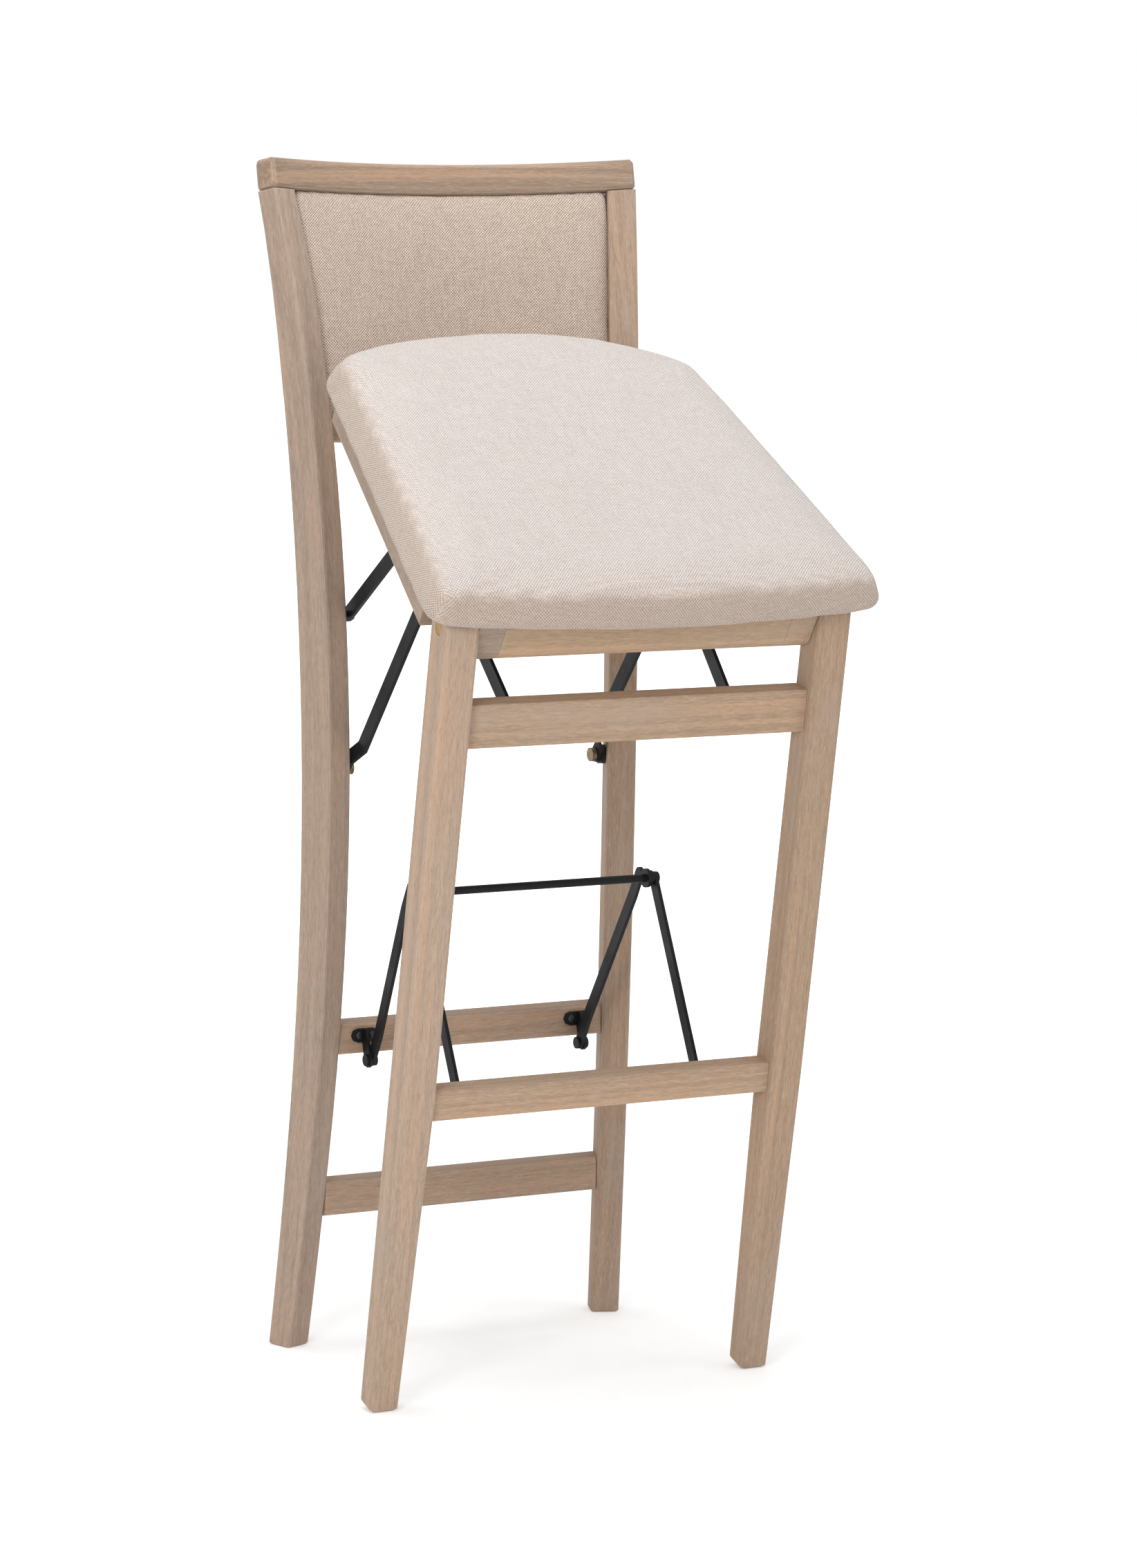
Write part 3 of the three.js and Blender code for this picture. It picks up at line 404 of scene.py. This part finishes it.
def plain_metal(name, colour, tarnish, metallic, rough):
    made = Nodes(name)
    place = made.place()
    cloud = made.noise(place, TARNISH_SCALE, detail=3)
    brushed = made.noise(place, BRUSH_SCALE)
    made.set(Base_Color=made.mix(made.ramp(cloud, TARNISH_SPAN), srgb(*colour), srgb(*tarnish)),
             Roughness=made.ramp(brushed, BRUSH_SPAN, (rough - BRUSH_ROUGH, rough + BRUSH_ROUGH)),
             Metallic=metallic)
    made.bump(brushed, BRUSH_BUMP)
    return made.material


# Wood tones. The first set is a darker copy of the second, as painted shade on the right post and on the
# rails at the back.
SHADED_WOOD = {"light": (184, 158, 136), "dark": (151, 126, 106), "warm": (190, 146, 116)}
MIDDLE = {"light": (186, 165, 148), "dark": (152, 131, 115), "warm": (190, 152, 127)}

materials = {
    "post_left": wood("wood_post_left", POST_UP, 1, straighten=post_bow, **MIDDLE),
    "post_right": wood("wood_post_right", POST_UP, 2, straighten=post_bow, **SHADED_WOOD),
    # The right leg's colours are darker than the left leg's, as painted shade.
    "leg_left": wood("wood_leg_left", LEG_UP, 3, light=(200, 176, 155), dark=(165, 141, 121)),
    "leg_right": wood("wood_leg_right", LEG_UP, 4, light=(190, 163, 138), dark=(156, 129, 106)),
    "crest": wood("wood_crest", X, 5, light=(171, 149, 129), dark=(137, 115, 97), straighten=back_arc),
    "back_rail": wood("wood_back_rail", X, 6, straighten=back_arc, **SHADED_WOOD),
    "rear_rails": wood("wood_rear_rails", X, 7, **SHADED_WOOD),
    "front_rails": wood("wood_front_rails", X, 8, light=(197, 169, 143), dark=(163, 135, 111)),
    "seat_front": wood("wood_seat_front", X, 13, light=(200, 172, 144), dark=(166, 138, 110)),
    "seat_sides": wood("wood_seat_sides", SEAT_ALONG, 9, **MIDDLE),
    "seat_blocks": wood("wood_seat_blocks", X, 10, light=(178, 158, 140), dark=(146, 127, 111),
                        warm=(180, 148, 126)),
    "plug": wood("wood_plug", X, 11, light=(206, 170, 122), dark=(158, 118, 72)),
    "plywood": wood("wood_plywood", X, 12, light=(206, 182, 146), dark=(170, 140, 104)),
    "seat_linen": linen("linen_seat", SEAT_ALONG, SEAT_UP, light=(240, 231, 226), dark=(194, 180, 171),
                        contrast=2.6, side_shade=1.0),
    "back_linen": linen("linen_back", BACK_UP, X.cross(BACK_UP), light=(236, 218, 204),
                        dark=(164, 142, 124), contrast=2.4),
    "black_steel": black_steel(),
    "black_plastic": plain_metal("black_plastic", (22, 22, 24), (36, 36, 38), metallic=0.0, rough=0.5),
    "brass": plain_metal("brass_bolt", (146, 124, 98), (88, 74, 58), metallic=0.7, rough=0.5),
    "steel": plain_metal("bright_steel", (190, 190, 192), (150, 150, 152), metallic=1.0, rough=0.35),
}

# The finish of all nodes whose names start like this. The first match counts, and the rest are black steel.
FINISHES = [
    ("rear_post_left", "post_left"),
    ("rear_post_right", "post_right"),
    ("front_leg_left", "leg_left"),
    ("front_leg_right", "leg_right"),
    ("crest_rail", "crest"),
    ("lower_back_rail", "back_rail"),
    ("rear_upper_stretcher", "rear_rails"),
    ("rear_lower_stretcher", "rear_rails"),
    ("front_upper_stretcher", "front_rails"),
    ("footrest", "front_rails"),
    ("seat_side_rail", "seat_sides"),
    ("seat_pivot_block_left", "seat_blocks"),
    ("seat_pivot_block_right", "seat_front"),
    ("seat_front_rail", "seat_front"),
    ("seat_rear_rail", "rear_rails"),
    ("leg_plug", "plug"),
    ("back_panel", "plywood"),
    ("seat_board", "plywood"),
    ("seat_cushion", "seat_linen"),
    ("back_pad", "back_linen"),
    ("post_bolt", "brass"),
    ("post_bushing", "black_plastic"),
    ("leg_pivot_bolt", "steel"),
]


def finish_of(node):
    return next((finish for start, finish in FINISHES if node.startswith(start)), "black_steel")


for name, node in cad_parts.items():
    node.data.materials.clear()
    node.data.materials.append(materials[finish_of(name)])


# Upholstery: settings that both covers share
CLOTH_FRAMES = 20
CLOTH_QUALITY = 5
CLOTH_MASS = 0.3
CLOTH_STIFFNESS = 15
CLOTH_BENDING = 0.6
SMOOTHING = 0.5
COVER_SMOOTHINGS = 4

# How the seat's cover settles, in metres along the cushion's own directions
CUSHION_LOW = 0.0172
SEAT_EDGE_SPAN = (0.02, 0.04)
SEAT_EDGE_OUT = 0.0038
REAR_SPAN = (0.24, 0.355)
REAR_LEFT_SPAN = (0.04, 0.16)
REAR_RIGHT_SPAN = (0.08, 0.165)
REAR_LEFT_BACKWARD = 0.0065
REAR_RIGHT_FORWARD = 0.0075
REAR_LEFT_OUTWARD = 0.001
REAR_RIGHT_INWARD = 0.004
SEAT_SMOOTHINGS = 2

# How the back's cover settles, in metres above its lowest point
BACK_EDGE_SPAN = (0.004, 0.012)
BACK_EDGE_DOWN = 0.0015

# The cloth simulation holds the vertices whose normals point along the cover's face by less than this
SEAT_HELD_BELOW = -0.6
BACK_HELD_BELOW = 0.5


def new_object(name, mesh, material):
    piece = bpy.data.objects.new(name, mesh)
    mesh.materials.clear()
    mesh.materials.append(material)
    scene.collection.objects.link(piece)
    return piece


def applied(piece):
    """The piece's mesh with its modifiers applied."""
    graph = bpy.context.evaluated_depsgraph_get()
    mesh = bpy.data.meshes.new_from_object(piece.evaluated_get(graph))
    piece.modifiers.clear()
    old = piece.data
    piece.data = mesh
    bpy.data.meshes.remove(old)
    return mesh


def add_smoothing(piece, name, times):
    smooth = piece.modifiers.new(name, "SMOOTH")
    smooth.factor = SMOOTHING
    smooth.iterations = times


def blow_out(piece, held, pressure, cap):
    """Fills the cover by a cloth simulation, in which no vertex moves further than the cap."""
    rest = [vertex.co.copy() for vertex in piece.data.vertices]
    group = piece.vertex_groups.new(name="held")
    for vertex in piece.data.vertices:
        if held(vertex.normal):
            group.add([vertex.index], 1.0, "REPLACE")
    cloth = piece.modifiers.new("cloth", "CLOTH")
    settings = cloth.settings
    settings.quality = CLOTH_QUALITY
    settings.mass = CLOTH_MASS
    settings.tension_stiffness = CLOTH_STIFFNESS
    settings.compression_stiffness = CLOTH_STIFFNESS
    settings.bending_stiffness = CLOTH_BENDING
    settings.use_pressure = True
    settings.uniform_pressure_force = pressure
    settings.vertex_group_mass = "held"
    settings.effector_weights.gravity = 0
    cloth.collision_settings.use_collision = False
    for number in range(1, CLOTH_FRAMES + 1):
        scene.frame_set(number)
    applied(piece)
    scene.frame_set(1)
    for vertex, start in zip(piece.data.vertices, rest):
        move = vertex.co - start
        if move.length > cap:
            vertex.co = start + move.normalized() * cap


def padded_cover(node, name, finish, tilt, voxel, held, pressure, cap, swell):
    """A filled fabric cover that starts from a CAD solid's mesh."""
    piece = new_object(name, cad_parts[node].data.copy(), materials[finish])

    # The copy is turned level for the remesh, so that its cells line up with the flat sides.
    turn = Matrix.Rotation(tilt, 4, "X")
    piece.data.transform(turn.inverted())
    remesh = piece.modifiers.new("even", "REMESH")
    remesh.mode = "VOXEL"
    remesh.voxel_size = voxel
    applied(piece).transform(turn)
    blow_out(piece, held, pressure, cap)
    add_smoothing(piece, "smooth", COVER_SMOOTHINGS)
    applied(piece)
    for vertex in piece.data.vertices:
        vertex.co += vertex.normal * swell
    for polygon in piece.data.polygons:
        polygon.use_smooth = True
    divide = piece.modifiers.new("divide", "SUBSURF")
    divide.levels = 1
    divide.render_levels = 1
    return piece


def smooth_step(value, span):
    low, high = span
    share = min(max((value - low) / (high - low), 0.0), 1.0)
    return share * share * (3 - 2 * share)


def settle_seat(piece):
    """Fills the cover's lower edge, and skews its rear corners as the sewn cover has them."""
    for vertex in piece.data.vertices:
        place = vertex.co - SEAT_PIVOT
        across, along, up = place.x, place.dot(SEAT_ALONG), place.dot(SEAT_UP)
        flat = vertex.normal - SEAT_UP * vertex.normal.dot(SEAT_UP)
        low = 1 - smooth_step(up, SEAT_EDGE_SPAN)
        move = flat * (SEAT_EDGE_OUT * low) + SEAT_UP * max(CUSHION_LOW - up, 0.0)
        rear = smooth_step(along, REAR_SPAN)
        left = rear * smooth_step(-across, REAR_LEFT_SPAN)
        right = rear * smooth_step(across, REAR_RIGHT_SPAN)
        skew = SEAT_ALONG * (REAR_LEFT_BACKWARD * left - REAR_RIGHT_FORWARD * right)
        move += skew - X * (REAR_LEFT_OUTWARD * left + REAR_RIGHT_INWARD * right)
        vertex.co += move
    add_smoothing(piece, "even_out", SEAT_SMOOTHINGS)


def settle_back(piece):
    """Lets the pad's lower edge rest on the rail under it."""
    bottom = min(vertex.co.dot(BACK_UP) for vertex in piece.data.vertices)
    for vertex in piece.data.vertices:
        low = 1 - smooth_step(vertex.co.dot(BACK_UP) - bottom, BACK_EDGE_SPAN)
        vertex.co -= BACK_UP * (BACK_EDGE_DOWN * low)


seat_cover = padded_cover(
    "seat_cushion", "seat_cover", "seat_linen", tilt=SEAT_TILT, voxel=0.005,
    held=lambda normal: normal.dot(SEAT_UP) < SEAT_HELD_BELOW, pressure=4.0, cap=0.004, swell=0.0002)
settle_seat(seat_cover)
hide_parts("seat_cushion")
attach(seat_cover, "seat")

back_cover = padded_cover(
    "back_pad", "back_cover", "back_linen", tilt=-BACK_LEAN, voxel=0.004,
    held=lambda normal: normal.dot(BACK_FACE) < BACK_HELD_BELOW, pressure=3.0, cap=0.003, swell=0.002)
settle_back(back_cover)
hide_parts("back_pad")
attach(back_cover, "rear_frame")

# Screws of the brackets: the head's profile as radii and heights, and its cross recess, in metres
SCREW_PROFILE = [(0.0034, 0.0), (0.00335, 0.0005), (0.0029, 0.001), (0.0021, 0.0014), (0.001, 0.0016)]
SCREW_STEPS = 24
RECESS_WIDTH_SPAN = (0.00055, 0.0004)
RECESS_LENGTH_SPAN = (0.0022, 0.0019)
RECESS_DEPTH = 0.001
# Colour of the painted shade in the cross recess
RECESS_SHADE = (6, 6, 6)
SCREW_WEAR_SCALE = (900, 900, 900)
SCREW_WEAR_SPAN = (0.55, 0.72)
SCREW_PAINT = (30, 30, 33)
SCREW_WORN = (92, 90, 88)


def screw_steel():
    made = Nodes("black_screw")
    split = made.add("ShaderNodeSeparateXYZ")
    made.plug(made.place(), split.inputs[0])
    arms = []
    for width, length in ((0, 1), (1, 0)):
        narrow = made.ramp(made.math("ABSOLUTE", split.outputs[width]), RECESS_WIDTH_SPAN)
        short = made.ramp(made.math("ABSOLUTE", split.outputs[length]), RECESS_LENGTH_SPAN)
        arms.append(made.math("MULTIPLY", narrow, short))
    recess = made.math("MAXIMUM", *arms)
    wear = made.noise(made.place(), SCREW_WEAR_SCALE, detail=3)
    base = made.mix(made.ramp(wear, SCREW_WEAR_SPAN), srgb(*SCREW_PAINT), srgb(*SCREW_WORN))
    # The cross recess is painted near black as painted shade, and its bump sinks it.
    made.set(Base_Color=made.mix(recess, base, srgb(*RECESS_SHADE)), Roughness=0.4)
    made.bump(made.math("SUBTRACT", 1.0, recess), RECESS_DEPTH)
    return made.material


def screw_mesh(material):
    """A round head that faces +Z."""
    mesh = bpy.data.meshes.new("screw")
    shape = bmesh.new()
    turns = [2 * math.pi * i / SCREW_STEPS for i in range(SCREW_STEPS)]
    rings = [[shape.verts.new((radius * math.cos(turn), radius * math.sin(turn), height)) for turn in turns]
             for radius, height in SCREW_PROFILE]
    for lower, upper in zip(rings, rings[1:]):
        for i in range(SCREW_STEPS):
            after = (i + 1) % SCREW_STEPS
            shape.faces.new((lower[i], lower[after], upper[after], upper[i]))
    shape.faces.new(rings[-1])
    shape.faces.new(list(reversed(rings[0])))
    shape.to_mesh(mesh)
    shape.free()
    for polygon in mesh.polygons:
        polygon.use_smooth = len(polygon.vertices) == 4
    mesh.materials.append(material)
    return mesh


screw_shape = screw_mesh(screw_steel())


def screw(name, place, facing, body):
    piece = bpy.data.objects.new(name, screw_shape)
    piece.location = place
    piece.rotation_euler = facing.to_track_quat("Z", "Y").to_euler()
    scene.collection.objects.link(piece)
    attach(piece, body)


def in_front_frame(across, depth, height):
    """A place measured from the feet of the leaning front frame."""
    return Vector((across, LEG_FOOT_Y + depth * math.cos(LEG_LEAN) - height * math.sin(LEG_LEAN),
                   depth * math.sin(LEG_LEAN) + height * math.cos(LEG_LEAN)))


def on_seat(across, along, up):
    """A place measured from the seat's pivot, along the seat."""
    return SEAT_PIVOT + X * across + SEAT_ALONG * along + SEAT_UP * up


# Each bracket's screws on the right, with the way they face and the body they ride on
SCREWS = {
    "rear_bracket": (
        -Y, "rear_frame",
        [Vector((across, REAR_PLATE_Y, 0.2933)) for across in (0.1156, 0.1025)]),
    "stretcher_bracket": (
        LEG_BACK, "front_frame",
        [in_front_frame(across=0.1025, depth=0.0348, height=height) for height in (0.6195, 0.6315)]),
    "footrest_bracket": (
        LEG_BACK, "front_frame",
        [in_front_frame(across=0.1125, depth=0.0298, height=height) for height in (0.2795, 0.2885)]),
    "seat_bracket": (
        -SEAT_UP, "seat",
        [on_seat(across=0.1305, along=along, up=0.0135) for along in (0.143, 0.187)]),
}
for bracket, (facing, body, places) in SCREWS.items():
    for number, place in enumerate(places, 1):
        for side, way in (("left", -1), ("right", 1)):
            mirrored = Vector((way * place.x, place.y, place.z))
            screw(f"{bracket}_screw_{side}_{number}", mirrored, facing, body)

# Floor: half of its side in metres, its paint, and the distances over which it turns to plain white
FLOOR_REACH = 12
FLOOR_GRAIN_SCALE = (40, 40, 40)
FLOOR_GRAIN_SPAN = (0.3, 0.7)
FLOOR_DARK = (246, 246, 246)
FLOOR_LIGHT = (250, 250, 250)
GLOW_SPAN = (0.6, 2.5)
GLOW = (0.3, 1.0)
WHITE = (1, 1, 1, 1)

# The white surroundings: how much they light the stool, and how bright they look
WORLD_LIGHT = 0.6
WORLD_SEEN = 1.0


def seen(tree):
    """1 where the camera looks, straight or in a reflection, and 0 for the light that reaches the stool."""
    path = tree.nodes.new("ShaderNodeLightPath")
    total = path.outputs["Is Camera Ray"]
    for ray in ("Is Glossy Ray", "Is Transmission Ray"):
        node = tree.nodes.new("ShaderNodeMath")
        node.operation = "MAXIMUM"
        tree.links.new(total, node.inputs[0])
        tree.links.new(path.outputs[ray], node.inputs[1])
        total = node.outputs[0]
    return total


def add_floor():
    mesh = bpy.data.meshes.new("floor")
    square = [(across * FLOOR_REACH, along * FLOOR_REACH, 0)
              for across, along in ((-1, -1), (1, -1), (1, 1), (-1, 1))]
    mesh.from_pydata(square, [], [(0, 1, 2, 3)])
    made = Nodes("floor")
    grain = made.noise(made.place(), FLOOR_GRAIN_SCALE)
    distance = made.add("ShaderNodeVectorMath", operation="LENGTH")
    made.plug(made.place(), distance.inputs[0])
    glow = made.ramp(distance.outputs["Value"], GLOW_SPAN, GLOW)
    made.set(Base_Color=made.mix(made.ramp(grain, FLOOR_GRAIN_SPAN), srgb(*FLOOR_DARK), srgb(*FLOOR_LIGHT)),
             Roughness=0.9, Emission_Color=WHITE,
             Emission_Strength=made.math("MULTIPLY", seen(made.tree), glow))
    piece = new_object("floor", mesh, made.material)


def add_lamp(name, place, target, size, power, colour=(1, 1, 1)):
    data = bpy.data.lights.new(name, "AREA")
    data.color = colour
    data.size = size
    data.energy = power
    light = bpy.data.objects.new(name, data)
    light.location = place
    light.rotation_euler = (Vector(target) - Vector(place)).to_track_quat("-Z", "Y").to_euler()
    scene.collection.objects.link(light)


def add_surroundings():
    world = bpy.data.worlds.new("studio")
    scene.world = world
    world.use_nodes = True
    background = world.node_tree.nodes["Background"]
    background.inputs["Color"].default_value = WHITE
    strength = world.node_tree.nodes.new("ShaderNodeMapRange")
    strength.inputs["To Min"].default_value = WORLD_LIGHT
    strength.inputs["To Max"].default_value = WORLD_SEEN
    world.node_tree.links.new(seen(world.node_tree), strength.inputs["Value"])
    world.node_tree.links.new(strength.outputs[0], background.inputs["Strength"])


add_floor()
add_lamp("key", (-3.0, -2.8, 1.7), (0, 0, 0.6), size=1.2, power=50, colour=(1.0, 0.98, 0.955))
add_lamp("fill", (2.8, -2.4, 1.4), (0, 0, 0.6), size=2.0, power=10)
add_lamp("top", (-0.2, -0.2, 3.2), (0, -0.1, 0.7), size=1.6, power=38, colour=(0.92, 0.965, 1.0))
add_surroundings()

scene.view_settings.view_transform = "Standard"
